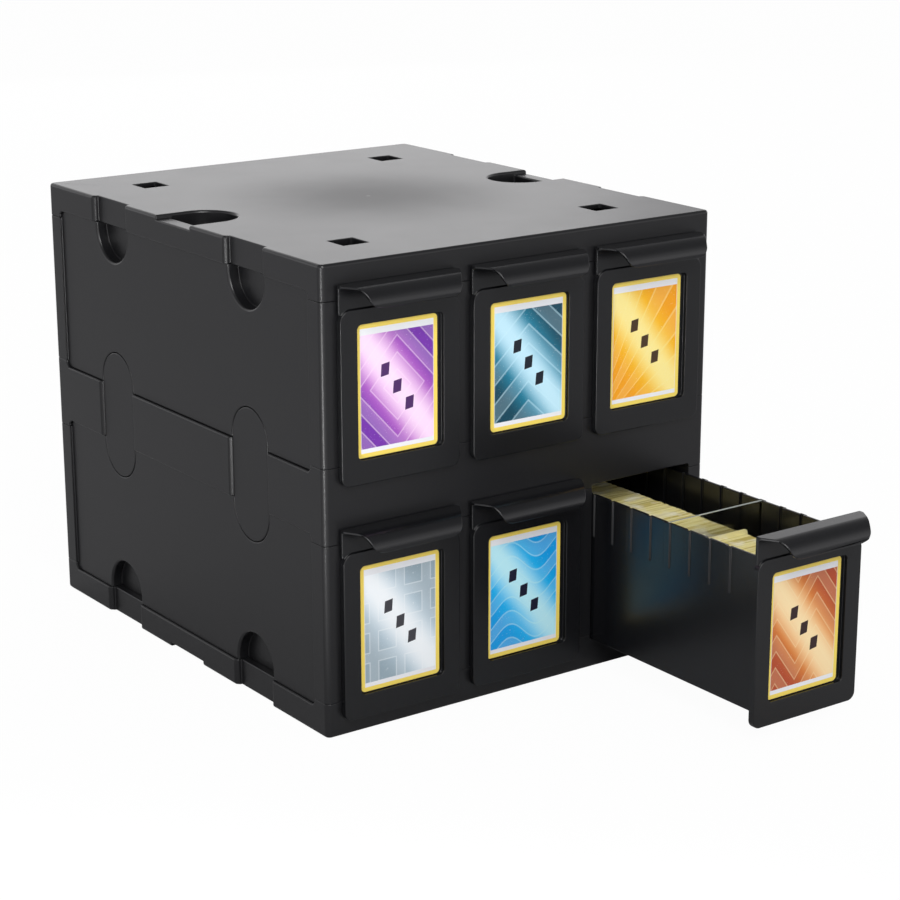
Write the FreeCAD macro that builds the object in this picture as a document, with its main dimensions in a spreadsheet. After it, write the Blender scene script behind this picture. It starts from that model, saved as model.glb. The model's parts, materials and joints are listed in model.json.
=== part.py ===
"""Stacking cabinet with six trading card drawers.

Three moulded levels (bottom panel, middle shelf, top panel) hold side panels, back panels and
partitions between them, and oval clips lock the two storeys together. Six drawers run in the
bays, each a slotted tray with a hooded front, a label card and a clear divider. Lengths are
millimetres, +Z is up, the drawer fronts face -Y and the origin is the centre of the base.
"""
import FreeCAD, Part
import math
import os
import re
import Sketcher

# name of the cell, size, what it is
SIZES = (
    ("case_width", 323, "outside width of the cabinet"),
    ("case_depth", 374, "front posts to rear posts"),
    ("column_pitch", 104, "centre to centre of the drawer columns"),
    ("bay_width", 88.5, "clear width between two posts"),
    ("bay_height", 115, "clear height of a drawer bay"),
    ("deck_height", 21, "bottom and top panel, outer face to bay"),
    ("shelf_height", 46, "middle shelf, bay to bay"),
    ("post_depth", 16, "front and rear posts, front to back"),
    ("tongue", 3, "how far a level reaches past its bay to meet the posts"),
    ("field_lap", 5, "how far a panel's sunk field passes the end of its posts"),
    ("field_sink", 2, "field below the posts' face"),
    ("field_bevel", 2.5, "corners of a field"),
    ("corner_round", 4, "upright corners of the cabinet"),
    ("skin", 3, "thickness of a moulded face"),
    ("rib", 2, "thickness of a stiffening rib"),
    ("border", 4, "solid edge round a field of ribs"),
    ("back_room", 13, "depth kept for the back panels"),
    ("seat_radius", 23, "round end of a clip's seat"),
    ("seat_place", 93, "seats in the sides, from the middle to front and rear"),
    ("seat_inset", 3, "centre of a seat's round end, in from the field's edge"),
    ("seat_depth", 8.5, "seat below the field"),
    ("seat_wall", 2, "wall round a seat on the inside"),
    ("channel_depth", 4.5, "channel across the edge of a level"),
    ("channel_bevel", 2.2, "upright edges of a channel"),
    ("clip_gap", 0.4, "clear gap round a clip"),
    ("clip_plate", 2.2, "face plate of a clip"),
    ("grip_run", 48.5, "hand recess, from the side to its round end"),
    ("grip_mouth", 11.5, "shallow mouth of the hand recess"),
    ("grip_shallow", 3, "depth of the mouth"),
    ("grip_deep", 12, "depth of the recess behind its mouth"),
    ("socket_side", 20, "square stacking socket"),
    ("socket_x", 105, "sockets, from the middle to the sides"),
    ("socket_y", 133, "sockets, from the middle to front and rear"),
    ("socket_deep", 15, "depth of a socket"),
    ("run_gap", 0.3, "clear gap under a tray and behind a front"),
    ("travel", 166.5, "how far the open drawer stands out"),
    ("tray_width", 86, "outside width of a tray"),
    ("tray_length", 358, "outside length of a tray"),
    ("tray_height", 107.5, "outside height of a tray"),
    ("tray_wall", 2, "walls and floor of a tray"),
    ("tray_bevel", 2, "upright corners of a tray"),
    ("slot_pitch", 20, "spacing of the divider slots"),
    ("slot_start", 28, "first slot, from the front of the tray"),
    ("slot_drop", 30, "length of a slot below the rim"),
    ("slot_width", 2.6, "width of a slot"),
    ("slot_bite", 1.6, "depth of a slot in the wall"),
    ("slot_ridge", 6, "width of the ridge outside a slot"),
    ("slot_proud", 1, "ridge outside the wall"),
    ("slot_wall", 1.7, "foot of a ridge below its slot"),
    ("front_width", 92.5, "width of a drawer front"),
    ("front_skirt", 10, "front below the bay's floor"),
    ("front_thick", 4.8, "bezel, back to face"),
    ("front_round", 6, "lower corners of the bezel"),
    ("crest_round", 8, "upper corners of the bezel"),
    ("bezel_height", 116, "height of the bezel"),
    ("head_height", 16.4, "plain head above the bezel"),
    ("head_sink", 1.6, "head behind the bezel's face"),
    ("head_thick", 2.5, "thickness of the head"),
    ("window_sink", 3, "card pocket below the bezel's face"),
    ("window_gap", 0.75, "gap over and under the card in its pocket"),
    ("window_play", 2, "gap beside the card in its pocket"),
    ("window_round", 3.5, "corners of the card pocket"),
    ("window_rise", 16.1, "pocket above the bezel's lower edge"),
    ("hood_reach", 19, "hood in front of the bezel"),
    ("hood_drop", 13, "hood's lip below the top of the front"),
    ("hood_flat", 1, "upright edge of the lip"),
    ("hood_wall", 2, "thickness of the hood"),
    ("hood_splay", 11.5, "inset of the hood's ends from the bezel's face to the lip"),
    ("hood_shoulder", 7.2, "where a lip's end starts to curve in, from the side"),
    ("hood_shoulder_fall", 1.5, "start of that curve, below the top of the front"),
    ("hood_slant", 6.1, "further inset along the steep part of the curve"),
    ("hood_steep", 10.1, "height of the steep part"),
    ("hood_tail", 9.2, "last part of the curve, along the lip"),
    ("hood_tail_fall", 2.2, "fall of the last part"),
    ("hood_end_bend", 6, "bend from the steep part into the last part"),
    ("card_width", 63, "playing card"),
    ("card_height", 88, "playing card"),
    ("card_bevel", 1.8, "corners of a card"),
    ("label_thick", 0.4, "label card"),
    ("divider_thick", 1.6, "clear divider"),
    ("divider_play", 0.3, "play of a divider in its slots and under the rim"),
    ("divider_bevel", 3, "lower corners of a divider"),
    ("divider_foot_gap", 1, "divider above the tray's floor"),
    ("divider_side_gap", 1, "divider's leaf to the tray's walls"),
    ("stack_gap", 0.3, "air round a row of cards"),
    ("stack_aside", 0.5, "row of cards off the tray's left wall"),
    ("stack_front", 1, "front of the rows to the tray's front wall"),
    ("stack_end", 300, "rear end of the rows, from the front of the tray"),
)
COLUMNS = (("left", -1), ("middle", 0), ("right", 1))
ROWS = (("lower", 0), ("upper", 1))
OPEN_DRAWER = ("lower", "right")
LABEL_ASIDE = {("lower", "left"): -0.3, ("lower", "middle"): -0.85, ("lower", "right"): -0.65,
               ("upper", "left"): -0.75, ("upper", "middle"): 0.45, ("upper", "right"): -0.85}
SLOTS = 16
OPEN_DIVIDER_SLOT = 3
SHUT_DIVIDER_SLOT = SLOTS - 1
RUNNER_RIBS = (3, 1)
SIDE_RIBS = (1, 4)
BACK_RIBS = (1, 5)
PARTITION_RIBS = (1, 5)
CUT = "cut"
EXPRESSION_WORDS = ("sqrt",)

# lengths that follow from the sheet
BAY_SIDE = "(column_pitch + bay_width / 2)"
POST_INNER = "(case_depth / 2 - post_depth)"
ROOM_END = "(case_depth / 2 - back_room)"
ROW_PITCH = "(bay_height + shelf_height)"
SIDE_THICK = f"(case_width / 2 - {BAY_SIDE})"
POST_HEIGHT = "(bay_height - 2 * tongue)"
CASE_HEIGHT = "(2 * deck_height + 2 * bay_height + shelf_height)"
FIELD_STEP = "(field_lap - tongue)"
TRAY_GAP = "((bay_width - tray_width) / 2)"

doc = FreeCAD.newDocument("CardCabinet")
sheet = doc.addObject("Spreadsheet::Sheet", "Sizes")
for line, (alias, size, meaning) in enumerate(SIZES, start=1):
    sheet.set(f"A{line}", meaning)
    sheet.set(f"B{line}", str(size))
    sheet.setAlias(f"B{line}", alias)
doc.recompute()


def bound(formula):
    """Formula with every size read from the sheet."""
    def cell(match):
        word = match.group(0)
        return word if word in EXPRESSION_WORDS else f"Sizes.{word}"
    return re.sub(r"[a-z_]+[a-z]", cell, formula)


def size(formula):
    """Present value of a formula in millimetres."""
    found = sheet.evalExpression(bound(formula))
    return float(getattr(found, "Value", found))


def tie(owner, path, formula):
    """Set a property of owner and keep it tied to the sheet."""
    owner.setExpression(path, bound(formula))


# ---------------------------------------------------------------- sketches

def start_body(label):
    """Empty body that will be written under its label."""
    body = doc.addObject("PartDesign::Body", label)
    body.Label = label
    return body


def start_sketch(body, plane, offset="0"):
    """Sketch on one of the body's origin planes, moved along the plane's normal."""
    origin = next(item for item in body.Origin.OriginFeatures if item.Role == plane)
    sketch = body.newObject("Sketcher::SketchObject", "Sketch")
    sketch.AttachmentSupport = (origin, [""])
    sketch.MapMode = "FlatFace"
    if offset != "0":
        tie(sketch, "AttachmentOffset.Base.z", offset)
    return sketch


def dimension(sketch, formula, kind, *geometry):
    """Dimension of the sketch, kept tied to the sheet."""
    index = sketch.addConstraint(Sketcher.Constraint(kind, *geometry, size(formula)))
    tie(sketch, f"Constraints[{index}]", formula)


def place_point(sketch, geometry, vertex, point):
    """Dimension one point of the sketch from the sketch's origin."""
    for kind, formula in zip(("DistanceX", "DistanceY"), point):
        dimension(sketch, formula, kind, -1, 1, geometry, vertex)


def corner_ends(before, corner, after, amount, is_cut):
    """Where a rounded or cut corner leaves its two edges."""
    back = (before - corner).normalize()
    ahead = (after - corner).normalize()
    reach = amount if is_cut else amount / math.tan(back.getAngle(ahead) / 2)
    return corner + back * reach, corner + ahead * reach


def add_corner_arc(sketch, first, corner, last, radius):
    """Arc round a corner, with the vertices where it starts and ends along the outline."""
    back, ahead = first - corner, last - corner
    centre = corner + (back + ahead).normalize() * math.hypot(radius, back.Length)
    left_turn = ahead.cross(back).z > 0
    ends = (first, last) if left_turn else (last, first)
    angles = [math.atan2(end.y - centre.y, end.x - centre.x) for end in ends]
    circle = Part.Circle(centre, FreeCAD.Vector(0, 0, 1), radius)
    arc = sketch.addGeometry(Part.ArcOfCircle(circle, *angles), False)
    return (arc, 1, 2) if left_turn else (arc, 2, 1)


def add_outline(sketch, corners):
    """Close straight edges through corners: (x, y), (x, y, radius) or (x, y, bevel, "cut")."""
    points = [FreeCAD.Vector(size(c[0]), size(c[1]), 0) for c in corners]
    around = points[-1:] + points + points[:1]
    ends = [(point, point) for point in points]
    for i, corner in enumerate(corners):
        if len(corner) > 2:
            ends[i] = corner_ends(*around[i:i + 3], size(corner[2]), CUT in corner)
    edges = [sketch.addGeometry(Part.LineSegment(start[1], end[0]), False)
             for start, end in zip(ends, ends[1:] + ends[:1])]
    for i, corner in enumerate(corners):
        before, after = edges[i - 1], edges[i]
        if len(corner) == 2:
            sketch.addConstraint(Sketcher.Constraint("Coincident", before, 2, after, 1))
            place_point(sketch, after, 1, corner)
            continue
        is_cut = CUT in corner
        if is_cut:
            join, entry, leave = sketch.addGeometry(Part.LineSegment(*ends[i]), False), 1, 2
        else:
            join, entry, leave = add_corner_arc(
                sketch, ends[i][0], points[i], ends[i][1], size(corner[2]))
        kind = "Coincident" if is_cut else "Tangent"
        sketch.addConstraint(Sketcher.Constraint(kind, before, 2, join, entry))
        sketch.addConstraint(Sketcher.Constraint(kind, join, leave, after, 1))
        mark = sketch.addGeometry(Part.Point(points[i]), True)
        sketch.addConstraint(Sketcher.Constraint("PointOnObject", mark, 1, before))
        sketch.addConstraint(Sketcher.Constraint("PointOnObject", mark, 1, after))
        place_point(sketch, mark, 1, corner)
        if is_cut:
            dimension(sketch, corner[2], "Distance", mark, 1, join, entry)
            dimension(sketch, corner[2], "Distance", mark, 1, join, leave)
        else:
            dimension(sketch, corner[2], "Radius", join)


def add_box(sketch, low, high, *tail):
    """Rectangle between two corners, all four rounded or cut if a radius or bevel is given."""
    add_outline(sketch, [(low[0], low[1], *tail), (high[0], low[1], *tail),
                         (high[0], high[1], *tail), (low[0], high[1], *tail)])


def add_arch(sketch, centre, radius, mouth, along_x=False):
    """Half circle about centre with two straight sides running to a mouth line."""
    swap = (lambda x, y: (y, x)) if along_x else (lambda x, y: (x, y))
    run, rise = ("Horizontal", "Vertical") if along_x else ("Vertical", "Horizontal")
    mouth_axis = "DistanceX" if along_x else "DistanceY"
    across, along = (size(formula) for formula in swap(*centre))
    reach, span = size(mouth), size(radius)
    crown = along + math.copysign(span, along - reach)
    rims = [FreeCAD.Vector(*swap(across + side * span, along), 0) for side in (-1, 1)]
    lips = [FreeCAD.Vector(*swap(across + side * span, reach), 0) for side in (-1, 1)]
    bend = Part.Arc(rims[0], FreeCAD.Vector(*swap(across, crown), 0), rims[1])
    arc = sketch.addGeometry(bend, False)
    sides = [sketch.addGeometry(Part.LineSegment(rim, lip), False) for rim, lip in zip(rims, lips)]
    top = sketch.addGeometry(Part.LineSegment(*lips), False)
    first = sketch.getPoint(arc, 1).distanceToPoint(rims[0]) < span
    for side, vertex in zip(sides, (1, 2) if first else (2, 1)):
        sketch.addConstraint(Sketcher.Constraint("Tangent", side, 1, arc, vertex))
        sketch.addConstraint(Sketcher.Constraint(run, side))
    sketch.addConstraint(Sketcher.Constraint("Coincident", sides[0], 2, top, 1))
    sketch.addConstraint(Sketcher.Constraint("Coincident", sides[1], 2, top, 2))
    sketch.addConstraint(Sketcher.Constraint(rise, top))
    place_point(sketch, arc, 3, centre)
    dimension(sketch, mouth, mouth_axis, -1, 1, top, 1)
    dimension(sketch, radius, "Radius", arc)


def add_oval(sketch, low, high, radius):
    """Upright oval: half circles about two centres, one above the other."""
    centres = [FreeCAD.Vector(size(c[0]), size(c[1]), 0) for c in (low, high)]
    side = FreeCAD.Vector(size(radius), 0, 0)
    turn = FreeCAD.Vector(0, 0, 1)
    foot = sketch.addGeometry(Part.ArcOfCircle(
        Part.Circle(centres[0], turn, size(radius)), math.pi, 2 * math.pi), False)
    head = sketch.addGeometry(Part.ArcOfCircle(
        Part.Circle(centres[1], turn, size(radius)), 0, math.pi), False)
    right = sketch.addGeometry(Part.LineSegment(centres[0] + side, centres[1] + side), False)
    left = sketch.addGeometry(Part.LineSegment(centres[1] - side, centres[0] - side), False)
    for pair in ((foot, 2, right, 1), (right, 2, head, 1), (head, 2, left, 1), (left, 2, foot, 1)):
        sketch.addConstraint(Sketcher.Constraint("Tangent", *pair))
    sketch.addConstraint(Sketcher.Constraint("Equal", foot, head))
    place_point(sketch, foot, 3, low)
    dimension(sketch, high[1], "DistanceY", -1, 1, head, 3)
    dimension(sketch, radius, "Radius", head)


# ---------------------------------------------------------------- features

def finish(body, feature):
    """Make the feature the body's tip and bring it up to date."""
    body.Tip = feature
    doc.recompute()
    if feature.Shape.isNull() or not feature.Shape.isValid():
        raise ValueError(f"{body.Label}: {feature.Name} has no valid shape")
    return feature


def pad(body, sketch, length, both=False, reverse=False):
    """Solid pulled from a sketch, to both sides of it if asked."""
    feature = body.newObject("PartDesign::Pad", "Pad")
    feature.Profile = sketch
    feature.SideType = "Symmetric" if both else "One side"
    feature.Reversed = reverse
    tie(feature, "Length", length)
    return finish(body, feature)


def pocket(body, sketch, depth, both=False, reverse=False):
    """Cut into the body; a cut that removes nothing is an error."""
    before = body.Shape.Volume
    feature = body.newObject("PartDesign::Pocket", "Pocket")
    feature.Profile = sketch
    feature.SideType = "Symmetric" if both else "One side"
    feature.Reversed = reverse
    tie(feature, "Length", depth)
    finish(body, feature)
    if feature.Shape.Volume > before - 1:
        raise ValueError(f"{body.Label}: {feature.Name} cuts nothing")
    return feature


def pattern(body, feature, sketch, runs):
    """Repeat a feature along the sketch's axes; a run is (axis, count, whole length)."""
    copies = body.newObject("PartDesign::LinearPattern", "Pattern")
    copies.Originals = [feature]
    for suffix, (axis, count, length) in zip(("", "2"), runs):
        setattr(copies, f"Direction{suffix}", (sketch, [axis]))
        setattr(copies, f"Occurrences{suffix}", count)
        tie(copies, f"Length{suffix}", length)
    return finish(body, copies)


def mirror(body, features, plane):
    """Repeat features on the other side of one of the body's origin planes."""
    copy = body.newObject("PartDesign::Mirrored", "Mirrored")
    copy.Originals = features
    copy.MirrorPlane = (next(o for o in body.Origin.OriginFeatures if o.Role == plane), [""])
    return finish(body, copy)


def round_edges(body, radius, wanted):
    """Fillet the edges of the body's present shape for which wanted(edge) holds."""
    base = body.Tip
    names = [f"Edge{i}" for i, edge in enumerate(base.Shape.Edges, start=1) if wanted(edge)]
    feature = body.newObject("PartDesign::Fillet", "Fillet")
    feature.Base = (base, names)
    tie(feature, "Radius", radius)
    return finish(body, feature)


def lies_at(edge, axis, place):
    """True if the whole edge lies in the plane where the axis has the given value."""
    box = edge.BoundBox
    low, high = getattr(box, f"{axis}Min"), getattr(box, f"{axis}Max")
    return abs(low - place) < 1e-4 and abs(high - place) < 1e-4


def rib_cells(body, plane, offset, low, high, counts, depth, reverse=False):
    """Cells between ribs over a rectangle of a moulded face, open at the sketch's plane."""
    spans = [f"({high[axis]} - ({low[axis]}) + rib) / {counts[axis]}" for axis in (0, 1)]
    sketch = start_sketch(body, plane, offset)
    add_box(sketch, low, [f"{low[axis]} + {spans[axis]} - rib" for axis in (0, 1)])
    cell = pocket(body, sketch, depth, reverse=reverse)
    runs = [(name, counts[axis], f"{spans[axis]} * {counts[axis] - 1}")
            for axis, name in enumerate(("H_Axis", "V_Axis"))]
    return pattern(body, cell, sketch, runs)


def stand(body, x="0", y="0", z="0", axis=(0, 0, 1), turn=0):
    """Turn a finished body about an axis and put its origin in its place."""
    body.Placement = FreeCAD.Placement(
        FreeCAD.Vector(0, 0, 0), FreeCAD.Rotation(FreeCAD.Vector(*axis), turn))
    for name, formula in (("x", x), ("y", y), ("z", z)):
        if formula != "0":
            tie(body, f"Placement.Base.{name}", formula)
    return body


# ---------------------------------------------------------------- levels

def level_footprint(sketch):
    """Plan of a level: rounded corners and four channels across its sides."""
    side, end = "case_width / 2", "case_depth / 2"
    bottom = "(case_width / 2 - channel_depth)"
    bevel = ("channel_bevel", CUT)
    corners = []
    for sign, order in (("", (-1, 1)), ("-", (1, -1))):
        corners.append((f"{sign}{side}", f"{order[0]} * {end}", "corner_round"))
        for seat in order:
            for edge in order:
                place = f"{seat} * seat_place + {edge} * seat_radius"
                run = [(f"{sign}{side}", place, *bevel), (f"{sign}{bottom}", place)]
                corners += run if edge == order[0] else run[::-1]
        corners.append((f"{sign}{side}", f"{order[1]} * {end}", "corner_round"))
    add_outline(sketch, corners)


def cut_level_face(body, floor, sides=1):
    """Cut one face of a level down to its bays, leaving the tongues that meet the posts."""
    end = f"({floor} + tongue)"
    above = f"({end} + skin)"
    seat = f"({floor} - {FIELD_STEP})"
    faces = (1, -1)[:sides]
    sketch = start_sketch(body, "XZ_Plane")
    for _, column in COLUMNS:
        for face in faces:
            left = f"{column} * column_pitch - bay_width / 2"
            right = f"{column} * column_pitch + bay_width / 2"
            add_outline(sketch, [(left, f"{face} * {above}"),
                                 (left, f"{face} * {floor}", TRAY_GAP, CUT),
                                 (right, f"{face} * {floor}", TRAY_GAP, CUT),
                                 (right, f"{face} * {above}")])
    pocket(body, sketch, "case_depth + 2 * skin", both=True)
    for face in faces:
        sketch = start_sketch(body, "XY_Plane", f"{face} * {floor}")
        add_box(sketch, (f"-{BAY_SIDE}", f"-{POST_INNER}"), (BAY_SIDE, "case_depth / 2 + skin"))
        pocket(body, sketch, "2 * tongue", reverse=face > 0)
        sketch = start_sketch(body, "XY_Plane", f"{face} * {seat}")
        add_box(sketch, (f"-{BAY_SIDE}", ROOM_END), (BAY_SIDE, "case_depth / 2 + skin"))
        pocket(body, sketch, "2 * field_lap", reverse=face > 0)
    sketch = start_sketch(body, "YZ_Plane", BAY_SIDE)
    for face in faces:
        add_outline(sketch, [(f"-{POST_INNER}", f"{face} * {above}"),
                             (f"-{POST_INNER}", f"{face} * {seat}", "field_bevel", CUT),
                             (POST_INNER, f"{face} * {seat}", "field_bevel", CUT),
                             (POST_INNER, f"{face} * {above}")])
    strip = pocket(body, sketch, f"{SIDE_THICK} + skin", reverse=True)
    mirror(body, [strip], "YZ_Plane")


def cut_level_ribs(body, floor, depth, face=1):
    """Channels under the floor of each bay that leave runners for the tray."""
    for _, column in COLUMNS:
        rib_cells(body, "XY_Plane", f"{face} * {floor}",
                  (f"{column} * column_pitch - bay_width / 2 + border", f"-{POST_INNER} + rib"),
                  (f"{column} * column_pitch + bay_width / 2 - border", f"{ROOM_END} - border"),
                  RUNNER_RIBS, depth, reverse=face < 0)


def outer_seats(body):
    """Square stacking sockets and hand recesses in the outer face, with their walls inside."""
    sketch = start_sketch(body, "XY_Plane")
    for side in (-1, 1):
        for end in (-1, 1):
            low = [f"{side} * socket_x - socket_side / 2", f"{end} * socket_y - socket_side / 2"]
            high = [f"{side} * socket_x + socket_side / 2", f"{end} * socket_y + socket_side / 2"]
            add_box(sketch, [f"{v} - seat_wall" for v in low], [f"{v} + seat_wall" for v in high])
    pad(body, sketch, "socket_deep + seat_wall")
    sketch = start_sketch(body, "XY_Plane")
    for side in (-1, 1):
        add_box(sketch, (f"{side} * (case_width / 2 - grip_run - seat_wall)", "-seat_radius - seat_wall"),
                (f"{side} * {BAY_SIDE}", "seat_radius + seat_wall"))
    pad(body, sketch, "grip_deep + seat_wall")
    sketch = start_sketch(body, "XY_Plane")
    for side in (-1, 1):
        for end in (-1, 1):
            add_box(sketch, (f"{side} * socket_x - socket_side / 2", f"{end} * socket_y - socket_side / 2"),
                    (f"{side} * socket_x + socket_side / 2", f"{end} * socket_y + socket_side / 2"))
    pocket(body, sketch, "socket_deep", reverse=True)
    for mouth, depth in (("case_width / 2 + skin", "grip_shallow"),
                         ("case_width / 2 - grip_mouth", "grip_deep")):
        sketch = start_sketch(body, "XY_Plane")
        for side in (-1, 1):
            add_arch(sketch, (f"{side} * (case_width / 2 - grip_run + seat_radius)", "0"),
                     "seat_radius", f"{side} * ({mouth})", along_x=True)
        pocket(body, sketch, depth, reverse=True)


def make_deck(label):
    """Bottom or top panel, drawn with its outer face down at height zero."""
    body = start_body(label)
    sketch = start_sketch(body, "XY_Plane")
    level_footprint(sketch)
    pad(body, sketch, "deck_height + tongue")
    cut_level_face(body, "deck_height")
    cut_level_ribs(body, "deck_height", "deck_height - skin")
    outer_seats(body)
    return body


def make_shelf(label):
    """Middle shelf, drawn about its mid plane, with ribs above and below a web."""
    body = start_body(label)
    sketch = start_sketch(body, "XY_Plane")
    level_footprint(sketch)
    pad(body, sketch, "shelf_height + 2 * tongue", both=True)
    cut_level_face(body, "shelf_height / 2", sides=2)
    for face in (1, -1):
        cut_level_ribs(body, "shelf_height / 2", "(shelf_height - skin) / 2", face)
    return body


# ---------------------------------------------------------------- panels

def seat_rows(sketch, radius, margin="0"):
    """Four clip seats at the lower and upper edge of a side panel, grown by a margin."""
    for side in (-1, 1):
        place = f"{side} * seat_place"
        add_arch(sketch, (place, f"{POST_HEIGHT} + field_lap - seat_inset"), radius,
                 f"{POST_HEIGHT} + field_lap + {margin}")
        add_arch(sketch, (place, "seat_inset - field_lap"), radius, f"-field_lap - {margin}")


def make_side(label):
    """Side panel, outer face at x = 0 and inner side towards +X, post feet at z = 0."""
    body = start_body(label)
    low, high = "-field_lap", f"{POST_HEIGHT} + field_lap"
    bevel = ("field_bevel", CUT)
    sketch = start_sketch(body, "YZ_Plane")
    add_outline(sketch, [
        ("-case_depth / 2", "0"), (f"-{POST_INNER}", "0"), (f"-{POST_INNER}", low, *bevel),
        (POST_INNER, low, *bevel), (POST_INNER, "0"), ("case_depth / 2", "0"),
        ("case_depth / 2", POST_HEIGHT), (POST_INNER, POST_HEIGHT), (POST_INNER, high, *bevel),
        (f"-{POST_INNER}", high, *bevel), (f"-{POST_INNER}", POST_HEIGHT),
        ("-case_depth / 2", POST_HEIGHT)])
    pad(body, sketch, SIDE_THICK)
    round_edges(body, "corner_round", lambda edge: (
        lies_at(edge, "X", 0) and (lies_at(edge, "Y", size("case_depth / 2"))
                                   or lies_at(edge, "Y", size("-case_depth / 2")))))
    sketch = start_sketch(body, "YZ_Plane")
    add_outline(sketch, [(f"-{POST_INNER}", f"{low} - skin"), (POST_INNER, f"{low} - skin"),
                         (POST_INNER, f"{high} + skin"), (f"-{POST_INNER}", f"{high} + skin")])
    pocket(body, sketch, "field_sink", reverse=True)
    clear = "(seat_inset + seat_radius + seat_wall)"
    depth = f"{SIDE_THICK} - field_sink - skin"
    rib_cells(body, "YZ_Plane", SIDE_THICK,
              (f"-{POST_INNER} + rib", f"{low} + {clear}"), (f"{POST_INNER} - rib", f"{high} - {clear}"),
              SIDE_RIBS, depth)
    sketch = start_sketch(body, "YZ_Plane", SIDE_THICK)
    between = "(seat_place - seat_radius - seat_wall)"
    add_box(sketch, (f"-{between}", f"{low} + border"), (between, f"{low} + {clear} - rib"))
    add_box(sketch, (f"-{between}", f"{high} - {clear} + rib"), (between, f"{high} - border"))
    pocket(body, sketch, depth)
    sketch = start_sketch(body, "YZ_Plane")
    seat_rows(sketch, "seat_radius", "skin")
    pocket(body, sketch, "field_sink + seat_depth", reverse=True)
    return body


def make_back(label):
    """Back panel between the rear posts, inner side at y = 0, post feet at z = 0."""
    body = start_body(label)
    low, high = "-field_lap", f"{POST_HEIGHT} + field_lap"
    sketch = start_sketch(body, "XZ_Plane")
    add_box(sketch, (f"-{BAY_SIDE}", low), (BAY_SIDE, high))
    pad(body, sketch, "back_room - field_sink", reverse=True)
    rib_cells(body, "XZ_Plane", "0", (f"-{BAY_SIDE} + border", f"{low} + border"),
              (f"{BAY_SIDE} - border", f"{high} - border"), BACK_RIBS, "back_room - field_sink - skin")
    return body


def make_partition(label):
    """Wall between two columns, drawn about its mid plane, post foot at z = 0."""
    body = start_body(label)
    low, high = "-tongue", f"{POST_HEIGHT} + tongue"
    thick = "(column_pitch - bay_width)"
    sketch = start_sketch(body, "YZ_Plane")
    add_outline(sketch, [("-case_depth / 2", "0"), (f"-{POST_INNER}", "0"), (f"-{POST_INNER}", low),
                         (ROOM_END, low), (ROOM_END, high), (f"-{POST_INNER}", high),
                         (f"-{POST_INNER}", POST_HEIGHT), ("-case_depth / 2", POST_HEIGHT)])
    pad(body, sketch, thick, both=True)
    for side in (1, -1):
        rib_cells(body, "YZ_Plane", f"{side} * {thick} / 2", (f"-{POST_INNER} + rib", f"{low} + border"),
                  (f"{ROOM_END} - border", f"{high} - border"), PARTITION_RIBS, f"({thick} - skin) / 2",
                  reverse=side < 0)
    return body


def make_clip(label):
    """Oval clip across the two storeys, face at x = 0, with a square plug behind each end."""
    body = start_body(label)
    reach = "(shelf_height / 2 + tongue - field_lap + seat_inset)"
    outer = "(seat_radius - clip_gap)"
    sketch = start_sketch(body, "YZ_Plane")
    add_oval(sketch, ("0", f"-{reach}"), ("0", reach), outer)
    pad(body, sketch, "clip_plate")
    edge = "(shelf_height / 2 + tongue - field_lap + clip_gap)"
    plug = f"({outer} / sqrt(2))"
    sketch = start_sketch(body, "YZ_Plane")
    add_box(sketch, (f"-{plug}", edge), (plug, f"{reach} + {plug}"))
    add_box(sketch, (f"-{plug}", f"-{reach} - {plug}"), (plug, f"-{edge}"))
    pad(body, sketch, "seat_depth - clip_gap")
    return body


# ---------------------------------------------------------------- drawers

def make_tray(label):
    """Tray behind a drawer front, its front wall at y = 0 and the bay's floor at z = 0."""
    body = start_body(label)
    half, rim = "tray_width / 2", "(run_gap + tray_height)"
    sketch = start_sketch(body, "XY_Plane", "run_gap")
    add_box(sketch, (f"-{half}", "0"), (half, "tray_length"), "tray_bevel", CUT)
    pad(body, sketch, "tray_height")
    run = ("H_Axis", SLOTS, f"slot_pitch * {SLOTS - 1}")
    sketch = start_sketch(body, "YZ_Plane")
    foot = f"{rim} - slot_drop - slot_wall"
    add_box(sketch, ("slot_start - slot_ridge / 2", foot), ("slot_start + slot_ridge / 2", rim))
    ridge = pad(body, sketch, "tray_width + 2 * slot_proud", both=True)
    pattern(body, ridge, sketch, [run])
    sketch = start_sketch(body, "XY_Plane", rim)
    add_box(sketch, (f"-{half} + tray_wall", "tray_wall"),
            (f"{half} - tray_wall", "tray_length - tray_wall"))
    pocket(body, sketch, "tray_height - tray_wall")
    sketch = start_sketch(body, "YZ_Plane")
    add_box(sketch, ("slot_start - slot_width / 2", f"{rim} - slot_drop"),
            ("slot_start + slot_width / 2", f"{rim} + skin"))
    groove = pocket(body, sketch, "tray_width - 2 * tray_wall + 2 * slot_bite", both=True)
    pattern(body, groove, sketch, [run])
    return body


def hood_section(top):
    """Corners of the hood and the head in section: crown, bend, lip, inner side and head."""
    face, lip = "-front_thick + head_sink", "-front_thick - hood_reach"
    bend = "(hood_drop - hood_flat)"
    return [(f"{face} + head_thick", top),
            (lip, top, bend),
            (lip, f"{top} - hood_drop"),
            (f"{lip} + hood_wall", f"{top} - hood_drop"),
            (f"{lip} + hood_wall", f"{top} - hood_wall", f"({bend} - hood_wall)"),
            (face, f"{top} - hood_wall"),
            (face, "bezel_height - front_skirt - skin"),
            (f"{face} + head_thick", "bezel_height - front_skirt - skin")]


def hood_splay_cut(side):
    """Corners, seen from above, of the cut that narrows the hood towards its lip."""
    half, lip = "front_width / 2", "-front_thick - hood_reach"
    return [(f"{side} * ({half} + skin)", "-front_thick"),
            (f"{side} * {half}", "-front_thick"),
            (f"{side} * ({half} - hood_splay)", lip),
            (f"{side} * ({half} - hood_splay)", f"{lip} - skin"),
            (f"{side} * ({half} + skin)", f"{lip} - skin")]


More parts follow.
